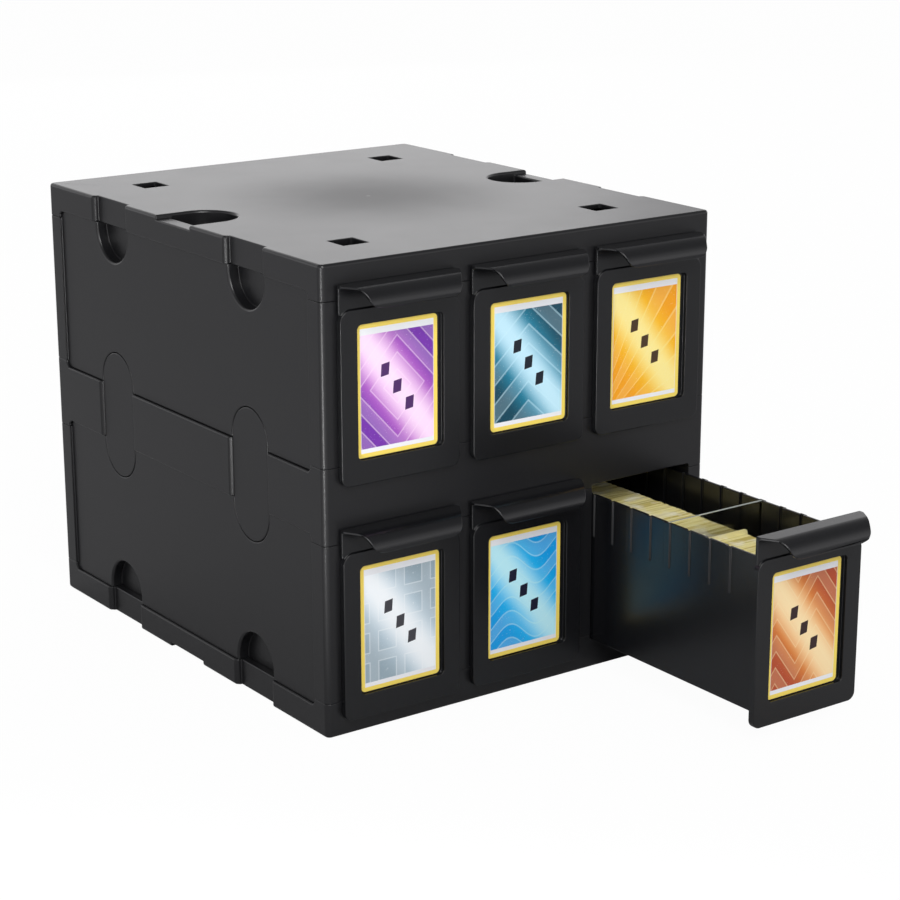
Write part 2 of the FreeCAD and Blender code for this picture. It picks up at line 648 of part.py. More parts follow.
def hood_end_cut(side, top):
    """Corners, seen from the front, of the cut that rounds one end of the lip."""
    outer, shoulder = "(front_width / 2 + skin)", "(front_width / 2 - hood_shoulder)"
    start = f"{top} - hood_shoulder_fall"
    foot = f"{start} - hood_steep"
    return [(f"{side} * {outer}", start),
            (f"{side} * {shoulder}", start),
            (f"{side} * ({shoulder} - hood_slant)", foot, "hood_end_bend"),
            (f"{side} * ({shoulder} - hood_slant - hood_tail)", f"{foot} - hood_tail_fall"),
            (f"{side} * {outer}", f"{foot} - hood_tail_fall")]


def make_front(label):
    """Drawer front: bezel with a card pocket, a thinner head and a hooded handle."""
    body = start_body(label)
    half, foot = "front_width / 2", "-front_skirt"
    crest = "(bezel_height - front_skirt)"
    top = f"({crest} + head_height)"
    sketch = start_sketch(body, "XZ_Plane")
    add_outline(sketch, [(f"-{half}", foot, "front_round"), (half, foot, "front_round"),
                         (half, crest, "crest_round"), (f"-{half}", crest, "crest_round")])
    pad(body, sketch, "front_thick")
    sketch = start_sketch(body, "YZ_Plane")
    add_outline(sketch, hood_section(top))
    pad(body, sketch, "front_width", both=True)
    sketch = start_sketch(body, "XY_Plane", top)
    for side in (-1, 1):
        add_outline(sketch, hood_splay_cut(side))
    pocket(body, sketch, "hood_drop + skin")
    sketch = start_sketch(body, "XZ_Plane", "front_thick")
    for side in (-1, 1):
        add_outline(sketch, hood_end_cut(side, top))
    pocket(body, sketch, "hood_reach + skin", reverse=True)
    pane = f"{foot} + window_rise"
    sketch = start_sketch(body, "XZ_Plane", "front_thick")
    add_box(sketch, ("-card_width / 2 - window_play", pane),
            ("card_width / 2 + window_play", f"{pane} + card_height + 2 * window_gap"),
            "window_round")
    pocket(body, sketch, "window_sink")
    return body


def make_label(label, aside):
    """Label card that lies loose in its pocket, to one side by a share of its play."""
    body = start_body(label)
    middle = f"({aside} * window_play)"
    foot = "-front_skirt + window_rise + window_gap"
    sketch = start_sketch(body, "XZ_Plane", "front_thick - window_sink")
    add_box(sketch, (f"{middle} - card_width / 2", foot),
            (f"{middle} + card_width / 2", f"{foot} + card_height"), "card_bevel", CUT)
    pad(body, sketch, "label_thick")
    return body


def make_divider(label):
    """Clear divider: a leaf with ears that hang in a pair of slots, mid plane at y = 0."""
    body = start_body(label)
    rim = "(run_gap + tray_height)"
    shoulder = f"{rim} - slot_drop + divider_play"
    leaf = "(tray_width / 2 - tray_wall - divider_side_gap)"
    ear = "(tray_width / 2 - tray_wall + slot_bite - divider_play)"
    foot = "run_gap + tray_wall + divider_foot_gap"
    sketch = start_sketch(body, "XZ_Plane")
    add_outline(sketch, [
        (f"-{leaf}", f"{foot} + divider_bevel"), (f"-{leaf} + divider_bevel", foot),
        (f"{leaf} - divider_bevel", foot), (leaf, f"{foot} + divider_bevel"), (leaf, shoulder),
        (ear, shoulder), (ear, rim), (f"-{ear}", rim), (f"-{ear}", shoulder), (f"-{leaf}", shoulder)])
    pad(body, sketch, "divider_thick", both=True)
    return body


def make_stack(label, start, end):
    """Row of standing cards between two places along the tray, close to its left wall."""
    body = start_body(label)
    left, foot = "(-tray_width / 2 + tray_wall + stack_aside)", "(run_gap + tray_wall)"
    sketch = start_sketch(body, "XZ_Plane", f"-({start})")
    add_box(sketch, (left, foot), (f"{left} + card_width", f"{foot} + card_height"), "card_bevel", CUT)
    pad(body, sketch, f"{end} - ({start})", reverse=True)
    return body


# ---------------------------------------------------------------- cabinet

def build_cabinet():
    """Levels, panels, partitions and clips in their places."""
    parts = [stand(make_deck("bottom_panel")),
             stand(make_shelf("middle_shelf"), z=f"{CASE_HEIGHT} / 2"),
             stand(make_deck("top_panel"), z=CASE_HEIGHT, axis=(0, 1, 0), turn=180)]
    for row, storey in ROWS:
        foot = f"deck_height + tongue + {storey} * {ROW_PITCH}"
        for side, sign in (("left", -1), ("right", 1)):
            parts.append(stand(make_side(f"side_panel_{row}_{side}"), x=f"{sign} * case_width / 2",
                               z=foot, turn=0 if sign < 0 else 180))
            parts.append(stand(make_partition(f"partition_{row}_{side}"),
                               x=f"{sign} * column_pitch / 2", z=foot))
        parts.append(stand(make_back(f"back_panel_{row}"), y=ROOM_END, z=foot))
    for side, sign in (("left", -1), ("right", 1)):
        for end, place in (("front", -1), ("rear", 1)):
            parts.append(stand(make_clip(f"clip_{side}_{end}"), x=f"{sign} * (case_width / 2 - field_sink)",
                               y=f"{place} * seat_place", z=f"{CASE_HEIGHT} / 2",
                               turn=0 if sign < 0 else 180))
    return parts


def build_drawer(row, storey, column, sign):
    """Tray, front, label card and divider of one drawer, and the cards in the open one."""
    name = f"{row}_{column}"
    is_open = (row, column) == OPEN_DRAWER
    mouth = "-case_depth / 2 - run_gap" + (" - travel" if is_open else "")
    floor = f"deck_height + {storey} * {ROW_PITCH}"
    slot = OPEN_DIVIDER_SLOT if is_open else SHUT_DIVIDER_SLOT
    divider = f"slot_start + {slot} * slot_pitch"

    def seat(body, along="0"):
        return stand(body, x=f"{sign} * column_pitch", y=f"{mouth} + {along}", z=floor)
    parts = [seat(make_tray(f"tray_{name}")), seat(make_front(f"front_{name}")),
             seat(make_label(f"label_{name}", LABEL_ASIDE[row, column])),
             seat(make_divider(f"divider_{name}"), divider)]
    if is_open:
        clear = "(divider_thick / 2 + stack_gap)"
        parts.append(seat(make_stack("cards_front", "tray_wall + stack_front", f"{divider} - {clear}")))
        parts.append(seat(make_stack("cards_rear", f"{divider} + {clear}", "stack_end")))
    return parts


def write_parts(parts):
    """Check the whole document, then write each part under its own label."""
    doc.recompute()
    for item in doc.Objects:
        if "Invalid" in item.State or "Error" in item.State:
            raise ValueError(f"{item.Name} ({item.Label}) failed: {item.State}")
    for part in parts:
        shape = part.Shape
        if shape.isNull() or not shape.isValid() or len(shape.Solids) != 1:
            raise ValueError(f"{part.Label} isn't one valid solid")
    os.makedirs("parts", exist_ok=True)
    for part in parts:
        part.Shape.exportStep(f"parts/{part.Label}.step")
        print(f"{part.Label}: {part.Shape.Volume / 1000:.1f} cm3")


cabinet = build_cabinet()
for row_name, row_storey in ROWS:
    for column_name, column_sign in COLUMNS:
        cabinet += build_drawer(row_name, row_storey, column_name, column_sign)
write_parts(cabinet)
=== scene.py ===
"""Looks of a stacking card cabinet with six hooded drawers.

The cabinet stands at the origin with its drawer fronts towards -Y and +Z up, in metres. Every
moulding is a soft edged copy of its plain solid. Label cards, the standing cards of the open
drawer and the clear dividers are pieces of their own.
"""
import json
import logging
import math
import random
from dataclasses import dataclass
from enum import Enum
from typing import Callable

import bmesh
import bpy
from mathutils import Matrix, Vector


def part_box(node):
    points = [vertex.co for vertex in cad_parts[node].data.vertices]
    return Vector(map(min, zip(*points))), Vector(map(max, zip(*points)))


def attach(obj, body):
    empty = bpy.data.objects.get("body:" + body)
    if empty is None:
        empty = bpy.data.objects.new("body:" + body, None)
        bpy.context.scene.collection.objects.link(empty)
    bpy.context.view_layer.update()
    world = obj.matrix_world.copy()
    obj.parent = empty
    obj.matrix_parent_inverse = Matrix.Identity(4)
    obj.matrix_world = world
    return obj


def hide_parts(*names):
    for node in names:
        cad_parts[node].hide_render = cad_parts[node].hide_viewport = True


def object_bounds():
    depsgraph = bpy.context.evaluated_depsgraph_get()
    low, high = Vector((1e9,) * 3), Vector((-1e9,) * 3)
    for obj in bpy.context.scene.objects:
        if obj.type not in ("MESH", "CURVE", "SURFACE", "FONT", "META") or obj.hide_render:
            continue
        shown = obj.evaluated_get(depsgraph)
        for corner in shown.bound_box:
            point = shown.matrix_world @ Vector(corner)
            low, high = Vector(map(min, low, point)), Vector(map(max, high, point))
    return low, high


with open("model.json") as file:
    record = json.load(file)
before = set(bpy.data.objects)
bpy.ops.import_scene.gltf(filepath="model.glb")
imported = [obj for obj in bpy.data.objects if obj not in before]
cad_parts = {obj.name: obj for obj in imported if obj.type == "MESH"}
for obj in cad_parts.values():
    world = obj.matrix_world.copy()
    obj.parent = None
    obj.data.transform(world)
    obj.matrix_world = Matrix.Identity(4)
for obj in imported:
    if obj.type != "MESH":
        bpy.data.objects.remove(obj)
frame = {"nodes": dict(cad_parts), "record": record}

MM = 0.001
START_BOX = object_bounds()
BODIES = frame["record"]["behaviour"]["bodies"]
log = logging.getLogger("card_cabinet")


# ------------------------------------------------------------------ shader graphs

class Value:
    """Output socket of a shader node that takes part in arithmetic."""

    def __init__(self, graph: "Graph", socket: bpy.types.NodeSocket) -> None:
        """Wrap a socket.

        Args:
            graph: Graph that owns the socket's node.
            socket: Output socket to wrap.
        """
        self.graph = graph
        self.socket = socket

    def math(self, operation: str, *others: "Operand") -> "Value":
        """Return a Math node's result on this value and others.

        Args:
            operation: Name of the Math node's operation.
            others: Further operands in their order.

        Returns:
            The node's output.
        """
        return self.graph.math(operation, self, *others)

    def __add__(self, other: "Operand") -> "Value":
        """Sum."""
        return self.math("ADD", other)

    __radd__ = __add__

    def __sub__(self, other: "Operand") -> "Value":
        """Difference."""
        return self.math("SUBTRACT", other)

    def __rsub__(self, other: "Operand") -> "Value":
        """Reflected difference."""
        return self.graph.math("SUBTRACT", other, self)

    def __mul__(self, other: "Operand") -> "Value":
        """Product."""
        return self.math("MULTIPLY", other)

    __rmul__ = __mul__

    def __truediv__(self, other: "Operand") -> "Value":
        """Quotient."""
        return self.math("DIVIDE", other)

    def __abs__(self) -> "Value":
        """Size without sign."""
        return self.math("ABSOLUTE")

    def __gt__(self, other: "Operand") -> "Value":
        """One where this value is the larger, else zero."""
        return self.math("GREATER_THAN", other)

    def __lt__(self, other: "Operand") -> "Value":
        """One where this value is the smaller, else zero."""
        return self.math("LESS_THAN", other)

    def clamp(self) -> "Value":
        """Keep the value between zero and one."""
        return self.math("MAXIMUM", 0.0).math("MINIMUM", 1.0)

    def ramp(self, low: float, high: float) -> "Value":
        """Smooth step from zero at low to one at high."""
        return self.graph.node("ShaderNodeMapRange", {"interpolation_type": "SMOOTHSTEP"},
                               {"Value": self, "From Min": low, "From Max": high})


Operand = Value | float
Triple = tuple[float, float, float]
Colour = Triple

# Sockets of a Mix node that mixes colours.
MIX_FACTOR, MIX_FIRST, MIX_SECOND, MIX_RESULT = 0, 6, 7, 2


class Graph:
    """Node graph of one material or of the world."""

    def __init__(self, tree: bpy.types.NodeTree) -> None:
        """Start an empty graph.

        Args:
            tree: Node tree whose nodes are replaced.
        """
        self.tree = tree
        tree.nodes.clear()

    def node(self, kind: str, settings: dict | None = None, inputs: dict | None = None,
             output: int | str = 0) -> Value | None:
        """Add one node.

        Args:
            kind: Blender's type name of the node.
            settings: Node properties, set before the inputs.
            inputs: Values or links of the node's sockets, by name or index.
            output: Output socket to return.

        Returns:
            The chosen output, or None for a node without outputs.
        """
        made = self.tree.nodes.new(kind)
        for key, setting in (settings or {}).items():
            setattr(made, key, setting)
        for key, given in (inputs or {}).items():
            self.feed(made.inputs[key], given)
        return Value(self, made.outputs[output]) if made.outputs else None

    def feed(self, socket: bpy.types.NodeSocket, given: "Value | float | tuple") -> None:
        """Link a value to an input socket, or set the socket itself."""
        if isinstance(given, Value):
            self.tree.links.new(given.socket, socket)
        elif isinstance(given, tuple) and len(given) == 3 and socket.type == "RGBA":
            socket.default_value = (*given, 1.0)
        else:
            socket.default_value = given

    def math(self, operation: str, *operands: Operand) -> Value:
        """Add a Math node.

        Args:
            operation: Name of the operation.
            operands: Numbers or values in their order.

        Returns:
            The node's output.
        """
        return self.node("ShaderNodeMath", {"operation": operation}, dict(enumerate(operands)))

    def mix(self, factor: Operand, first: "Value | Colour", second: "Value | Colour") -> Value:
        """Mix two colours.

        Args:
            factor: Share of the second colour.
            first: First colour.
            second: Second colour.

        Returns:
            The mixed colour.
        """
        return self.node("ShaderNodeMix", {"data_type": "RGBA"},
                         {MIX_FACTOR: factor, MIX_FIRST: first, MIX_SECOND: second},
                         output=MIX_RESULT)

    def place(self) -> Value:
        """Object coordinates, which are the cabinet's own frame in metres."""
        return self.node("ShaderNodeTexCoord", output="Object")

    def split(self, vector: Value) -> tuple[Value, Value, Value]:
        """Take a vector apart into three numbers."""
        first = self.node("ShaderNodeSeparateXYZ", {}, {0: vector})
        return tuple(Value(self, output) for output in first.socket.node.outputs)

    def axes(self) -> tuple[Value, Value, Value]:
        """Object coordinates as three numbers."""
        return self.split(self.place())

    def principled(self, inputs: dict) -> Value:
        """Add a Principled shader with the given sockets."""
        return self.node("ShaderNodeBsdfPrincipled", {}, inputs)

    def blend(self, share: Value, first: Value, second: Value) -> Value:
        """Mix two shaders by the second one's share."""
        return self.node("ShaderNodeMixShader", {}, {0: share, 1: first, 2: second})

    def noise(self, scale: float, detail: float = 2.0, stretch: Triple | None = None) -> Value:
        """Noise over object coordinates.

        Args:
            scale: Waves per metre.
            detail: Octaves.
            stretch: Scale along each axis, if it isn't the same.

        Returns:
            Noise around one half.
        """
        vector = self.place()
        if stretch is not None:
            vector = self.node("ShaderNodeMapping", {}, {"Vector": vector, "Scale": stretch})
        return self.node("ShaderNodeTexNoise", {},
                         {"Vector": vector, "Scale": scale, "Detail": detail})

    def bump(self, height: Value, strength: float, distance: float) -> Value:
        """Bump normal from a height."""
        return self.node("ShaderNodeBump", {}, {"Height": height, "Strength": strength,
                                                "Distance": distance})

    def surface(self, shader: Value) -> None:
        """Make a shader the graph's surface."""
        self.node("ShaderNodeOutputMaterial", {}, {"Surface": shader})


def new_material(name: str) -> tuple[bpy.types.Material, Graph]:
    """Make a material with an empty graph.

    Args:
        name: Name of the material.

    Returns:
        The material and its graph.
    """
    material = bpy.data.materials.new(name)
    material.use_nodes = True
    return material, Graph(material.node_tree)


# ------------------------------------------------------------------ finishes

@dataclass(frozen=True)
class MouldedPlastic:
    """Injection moulded plastic with a fine grain, soft flow marks, dust and a matt gate mark."""

    name: str
    colour: Colour
    roughness: float
    ior: float = 1.5
    grain_scale: float = 2600.0
    grain_share: float = 0.7
    grain_depth: float = 0.04 * MM
    bump_strength: float = 0.6
    cloud_scale: float = 9.0
    cloud_detail: float = 4.0
    cloud_share: float = 0.12
    cloud_height: float = 0.8
    drag_scale: float = 35.0
    drag_detail: float = 3.0
    drag_stretch: float = 0.12
    rough_swing: float = 0.03
    dust_scale: float = 900.0
    dust_range: tuple[float, float] = (0.70, 0.82)
    dust_share: float = 0.035
    dust_colour: Colour = (0.55, 0.55, 0.56)
    gate_reach: float = 0.0
    gate_ragged: float = 50 * MM
    gate_rough: float = 0.11
    gate_radius: float = 1.6 * MM
    gate_colour: Colour = (0.10, 0.10, 0.10)

    def build(self) -> bpy.types.Material:
        """Return the material."""
        material, graph = new_material(self.name)
        clouds = graph.noise(self.cloud_scale, self.cloud_detail)
        drag = graph.noise(self.drag_scale, self.drag_detail, (1.0, 1.0, self.drag_stretch))
        grain = graph.noise(self.grain_scale)
        dust = graph.noise(self.dust_scale).ramp(*self.dust_range)
        deep, pale = (tuple(part * (1 + share) for part in self.colour)
                      for share in (-self.cloud_share, self.cloud_share))
        colour = graph.mix(dust * self.dust_share, graph.mix(clouds, deep, pale),
                           self.dust_colour)
        rough = self.roughness + (clouds - 0.5) * self.rough_swing + (drag - 0.5) * self.rough_swing
        if self.gate_reach:
            x, y, _ = graph.axes()
            away = (x * x + y * y).math("SQRT")
            ragged = away + (drag - 0.5) * self.gate_ragged
            rough = rough + (1.0 - ragged.ramp(0.0, self.gate_reach)) * self.gate_rough
            colour = graph.mix(away < self.gate_radius, colour, self.gate_colour)
        relief = grain * self.grain_share + clouds * self.cloud_height
        graph.surface(graph.principled({
            "Base Color": colour, "Roughness": rough.clamp(), "IOR": self.ior,
            "Normal": graph.bump(relief, self.bump_strength, self.grain_depth)}))
        return material


@dataclass(frozen=True)
class ClearPlastic:
    """Clear sheet with faint haze, hairline scratches and a matt top edge."""

    name: str
    tint: Colour
    roughness: float
    tops: tuple[float, ...]
    edge: float = 0.35 * MM
    edge_share: float = 0.35
    edge_colour: Colour = (0.72, 0.78, 0.74)
    edge_roughness: float = 0.5
    ior: float = 1.49
    haze_scale: float = 14.0
    haze_detail: float = 3.0
    haze_rough: float = 0.04
    scratch_scale: float = 60.0
    scratch_stretch: float = 40.0
    scratch_range: tuple[float, float] = (0.66, 0.72)
    scratch_rough: float = 0.1

    def build(self) -> bpy.types.Material:
        """Return the material."""
        material, graph = new_material(self.name)
        haze = graph.noise(self.haze_scale, self.haze_detail)
        scratch = graph.noise(self.scratch_scale, 2.0, (1.0, 1.0, self.scratch_stretch))
        rough = (self.roughness + haze * self.haze_rough
                 + scratch.ramp(*self.scratch_range) * self.scratch_rough)
        sheet = graph.principled({"Base Color": self.tint, "Roughness": rough.clamp(),
                                  "IOR": self.ior, "Transmission Weight": 1.0})
        sawn = graph.principled({"Base Color": self.edge_colour,
                                 "Roughness": self.edge_roughness, "IOR": self.ior})
        _, _, z = graph.axes()
        share = 0.0
        for top in self.tops:
            share = (abs(z - top) < self.edge) + share
        graph.surface(graph.blend(share * self.edge_share, sheet, sawn))
        return material


class Motif(Enum):
    """Plain pattern printed on a label card."""

    DIAMONDS = "diamonds"
    CHEVRONS = "chevrons"
    RAYS = "rays"
    TILES = "tiles"
    WAVES = "waves"
    PEAKS = "peaks"


@dataclass(frozen=True)
class Palette:
    """Inks of one label card."""

    deep: Colour
    mid: Colour
    light: Colour
    mark: Colour


@dataclass(frozen=True)
class LabelStyle:
    """Pattern, inks and material slot of one label card."""

    motif: Motif
    inks: Palette
    slot: str


@dataclass(frozen=True)
class CardPrint:
    """Printed playing card: yellow border and a plain pattern crossed by a light sash."""

    name: str
    motif: Motif
    inks: Palette
    centre: Vector
    half_width: float = 31.5 * MM
    half_height: float = 44.0 * MM
    border: float = 2.9 * MM
    border_colour: Colour = (0.93, 0.71, 0.13)
    rim: float = 0.5 * MM
    rim_share: float = 0.6
    head_band: float = 4.3 * MM
    foot_band: float = 2.9 * MM
    band_colour: Colour = (0.84, 0.85, 0.88)
    line_reach: float = 0.44
    line_share: float = 0.35
    step_share: float = 0.12
    sash_up: float = 0.85
    sash_across: float = 0.8
    sash_core: float = 0.05
    sash_reach: float = 0.60
    sash_share: float = 0.9
    glow_reach: float = 1.05
    speck_scale: float = 1500.0
    speck_range: tuple[float, float] = (0.71, 0.76)
    speck_share: float = 0.45
    lozenge_pitch: float = 2.1
    lozenge_start: float = 4.5
    lozenge_long: float = 0.9
    lozenge_wide: float = 1.5
    lozenge_size: float = 0.27
    lozenge_row: float = 0.71
    rough: float = 0.30
    rough_swing: float = 0.12
    rough_scale: float = 40.0
    fibre_scale: float = 5200.0
    fibre_strength: float = 0.25
    fibre_depth: float = 0.02 * MM
    ior: float = 1.48
    band_start: float = 8.0

    def bands(self, graph: Graph, across: Value, up: Value) -> Value:
        """Coordinate whose whole steps draw the pattern's lines.

        The numbers are each motif's slopes and how often its lines come. band_start keeps the
        coordinate of the open motifs above zero.

        Args:
            graph: Graph of the card's material.
            across: Place across the card, from -1 to 1.
            up: Place up the card, from -1 to 1.

        Returns:
            The coordinate.
        """
        match self.motif:
            case Motif.DIAMONDS:
                return (abs(across) + abs(up) * 1.3) * 3.0
            case Motif.CHEVRONS:
                return (up * 1.4 + abs(across) * 0.9) * 2.4 + self.band_start
            case Motif.RAYS:
                return graph.math("ARCTAN2", up + 1.5, across + 1.6) * 9.0
            case Motif.TILES:
                column = abs((across * 1.5).math("FRACT") - 0.5)
                row = abs((up * 2.1).math("FRACT") - 0.5)
                return column.math("MAXIMUM", row) * 3.0
            case Motif.WAVES:
                return (up * 1.4 + (across * 4.2).math("SINE") * 0.22) * 3.2 + self.band_start
            case Motif.PEAKS:
                peak = abs((across * 0.9 + 4.2).math("FRACT") - 0.5)
                return (up * 1.5 + peak * 1.6) * 2.6 + self.band_start

    def pattern(self, graph: Graph, across: Value, up: Value) -> Value:
        """Pattern of bands and lines with a light sash and a row of lozenges on it.

        Args:
            graph: Graph of the card's material.
            across: Place across the card, from -1 to 1.
            up: Place up the card, from -1 to 1.

        Returns:
            The pattern's colour.
        """
        inks = self.inks
        bands = self.bands(graph, across, up)
        line = abs(bands.math("FRACT") - 0.5) > self.line_reach
        step = bands.math("FLOOR").math("MODULO", 2.0)
        sash = abs(up * self.sash_up + across * self.sash_across)
        glow = 1.0 - sash.ramp(self.sash_core, self.glow_reach)
        speck = graph.noise(self.speck_scale, 1.0).ramp(*self.speck_range)
        ground = graph.mix(glow, inks.deep, inks.mid)
        ground = graph.mix(step * self.step_share, ground, inks.light)
        ground = graph.mix(line * self.line_share, ground, inks.light)
        light = 1.0 - sash.ramp(self.sash_core, self.sash_reach)
        ground = graph.mix(light * self.sash_share, ground, inks.light)
        ground = graph.mix(speck * self.speck_share, ground, (1.0, 1.0, 1.0))
        along = across * self.sash_across - up * self.sash_up
        repeat = abs((along * self.lozenge_pitch + self.lozenge_start).math("FRACT") - 0.5)
        lozenge = repeat * self.lozenge_long + sash * self.lozenge_wide
        marks = (lozenge < self.lozenge_size) * (abs(along) < self.lozenge_row)
        return graph.mix(marks, ground, inks.mark)

    def build(self) -> bpy.types.Material:
        """Return the material."""
        material, graph = new_material(self.name)
        x, _, z = graph.axes()
        aside = x - self.centre.x
        above = z - self.centre.z
        inner_x = self.half_width - self.border
        inner_z = self.half_height - self.border
        on_border, on_rim = (
            (abs(aside) > inner_x - lap).math("MAXIMUM", abs(above) > inner_z - lap)
            for lap in (0.0, self.rim))
        on_band = (above > inner_z - self.head_band).math(
            "MAXIMUM", above * -1.0 > inner_z - self.foot_band)
        ground = self.pattern(graph, aside / self.half_width, above / self.half_height)
        ground = graph.mix(on_band, ground, self.band_colour)
        ground = graph.mix(on_rim * self.rim_share, ground, self.band_colour)
        colour = graph.mix(on_border, ground, self.border_colour)
        rough = self.rough + graph.noise(self.rough_scale) * self.rough_swing
        fibre = graph.bump(graph.noise(self.fibre_scale), self.fibre_strength, self.fibre_depth)
        graph.surface(graph.principled({
            "Base Color": colour, "Roughness": rough, "IOR": self.ior, "Normal": fibre}))
        return material


@dataclass(frozen=True)
class CardStock:
    """Edges of many cards: warm white board with yellow printed borders."""

    name: str
    deep_yellow: Colour = (0.52, 0.42, 0.10)
    pale_yellow: Colour = (0.80, 0.73, 0.36)
    board: Colour = (0.84, 0.82, 0.70)
    board_share: float = 0.7
    streak_scale: float = 700.0
    streak_stretch: Triple = (0.02, 1.0, 0.02)
    streak_range: tuple[float, float] = (0.36, 0.60)
    streak_strength: float = 0.4
    streak_depth: float = 0.05 * MM
    cloud_scale: float = 55.0
    cloud_range: tuple[float, float] = (0.48, 0.66)
    detail: float = 3.0
    rough: float = 0.55
    rough_swing: float = 0.1
    ior: float = 1.46

    def build(self) -> bpy.types.Material:
        """Return the material."""
        material, graph = new_material(self.name)
        streak = graph.noise(self.streak_scale, self.detail, self.streak_stretch)
        cloud = graph.noise(self.cloud_scale, self.detail)
        paper = graph.mix(streak.ramp(*self.streak_range), self.deep_yellow, self.pale_yellow)
        colour = graph.mix(cloud.ramp(*self.cloud_range) * self.board_share, paper, self.board)
        graph.surface(graph.principled({
            "Base Color": colour, "Roughness": self.rough + cloud * self.rough_swing,
            "IOR": self.ior,
            "Normal": graph.bump(streak, self.streak_strength, self.streak_depth)}))
        return material


# ------------------------------------------------------------------ making pieces

EdgeTest = Callable[[Vector, Vector], bool]

# Cosine between two edges' ways out of their shared vertex, below which one carries the other on.
ONWARD = -0.8
# Vertices closer than this are one, and faces that turn by less than this many degrees are one.
WELD = 0.004 * MM
FLAT_TURN = 0.6

CARD_ROUND = 3.0 * MM
# Straight pieces in a corner of a label card and of a card in a row.
LABEL_ARC = 6
ROW_ARC = 2
# A label card is shaded smooth over turns of fewer degrees than this.
LABEL_SMOOTH = 40.0


@dataclass(frozen=True)
class EdgeSoftness:
    """How a moulding's edges are rounded off, with other widths for the edges that a test picks."""

    width: float
    segments: int = 3
    angle: float = 30.0
    share: float = 0.36
    rim_share: float = 0.64
    rims: tuple[tuple[float, EdgeTest], ...] = ()

    @property
    def widest(self) -> float:
        """Largest rounding in use."""
        return max([self.width, *(width for width, _ in self.rims)])

    def room(self, edge: bmesh.types.BMEdge) -> float:
        """Rounding that an edge is given, within a share of the edges that it meets.

        Args:
            edge: Sharp edge.

        Returns:
            The width of its rounding.
        """
        first, last = (vertex.co for vertex in edge.verts)
        picked = [width for width, test in self.rims if test(first, last)]
        width, share = (picked[0], self.rim_share) if picked else (self.width, self.share)
        return min([width, *(share * other.calc_length()
                             for other, is_onward in neighbours(edge) if not is_onward)])

    def weigh(self, shape: bmesh.types.BMesh) -> None:
        """Mark every sharp edge with its share of the largest rounding.

        Edges that carry each other on take the smallest width among them, so that a rounding
        doesn't change its width on its way.

        Args:
            shape: Mesh of the moulding.
        """
        weights = shape.edges.layers.float.new("bevel_weight_edge")
        sharp = math.radians(self.angle)
        widths = {edge: self.room(edge) for edge in shape.edges
                  if len(edge.link_faces) == 2 and edge.calc_face_angle() > sharp}
        waiting = list(widths)
        while waiting:
            edge = waiting.pop()
            for other, is_onward in neighbours(edge):
                if is_onward and widths.get(other, 0.0) > widths[edge]:
                    widths[other] = widths[edge]
                    waiting.append(other)
        for edge, width in widths.items():
            edge[weights] = width / self.widest


def neighbours(edge: bmesh.types.BMEdge) -> list[tuple[bmesh.types.BMEdge, bool]]:
    """Edges that share a vertex with an edge.

    Args:
        edge: Edge to look round.

    Returns:
        Each neighbour, and whether it carries the edge on in much the same direction.
    """
    found = []
    for vertex in edge.verts:
        ahead = (edge.other_vert(vertex).co - vertex.co).normalized()
        for other in vertex.link_edges:
            if other is not edge:
                way = (other.other_vert(vertex).co - vertex.co).normalized()
                found.append((other, ahead.dot(way) < ONWARD))
    return found


def at(axis: int, place: float, slack: float = 0.06 * MM) -> EdgeTest:
    """Test for edges whose both ends have one coordinate at a place.

    Args:
        axis: Index of the coordinate.
        place: Its value; the sign isn't looked at.
        slack: How far the ends may be off.

    Returns:
        The test.
    """
    return lambda first, last: all(abs(abs(end[axis]) - place) < slack for end in (first, last))


def within(low: Vector, high: Vector) -> EdgeTest:
    """Test for edges that lie inside a box.

    Args:
        low: Lowest corner of the box.
        high: Highest corner.

    Returns:
        The test.
    """
    return lambda first, last: all(low[i] <= end[i] <= high[i] for end in (first, last)
                                   for i in range(3))


def both(*tests: EdgeTest) -> EdgeTest:
    """Test for edges that pass all the given tests."""
    return lambda first, last: all(test(first, last) for test in tests)


def link_piece(name: str, mesh: bpy.types.Mesh, material: bpy.types.Material,
               body: str, slot: str) -> bpy.types.Object:
    """Put a mesh into the scene as one piece of the cabinet.

    Args:
        name: Name of the piece.
        mesh: Its mesh, in the cabinet's frame.
        material: Its finish.
        body: Rigid body that it moves with.
        slot: Not used.

    Returns:
        The new object.
    """
    piece = bpy.data.objects.new(name, mesh)
    bpy.context.scene.collection.objects.link(piece)
    mesh.materials.clear()
    mesh.materials.append(material)
    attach(piece, body)
    return piece


def smooth_mesh(mesh: bpy.types.Mesh, angle: float) -> None:
    """Shade a mesh smooth except over edges sharper than an angle.

    Args:
        mesh: Mesh to shade.
        angle: Angle in degrees.
    """
    mesh.polygons.foreach_set("use_smooth", [True] * len(mesh.polygons))
    mesh.set_sharp_from_angle(angle=math.radians(angle))


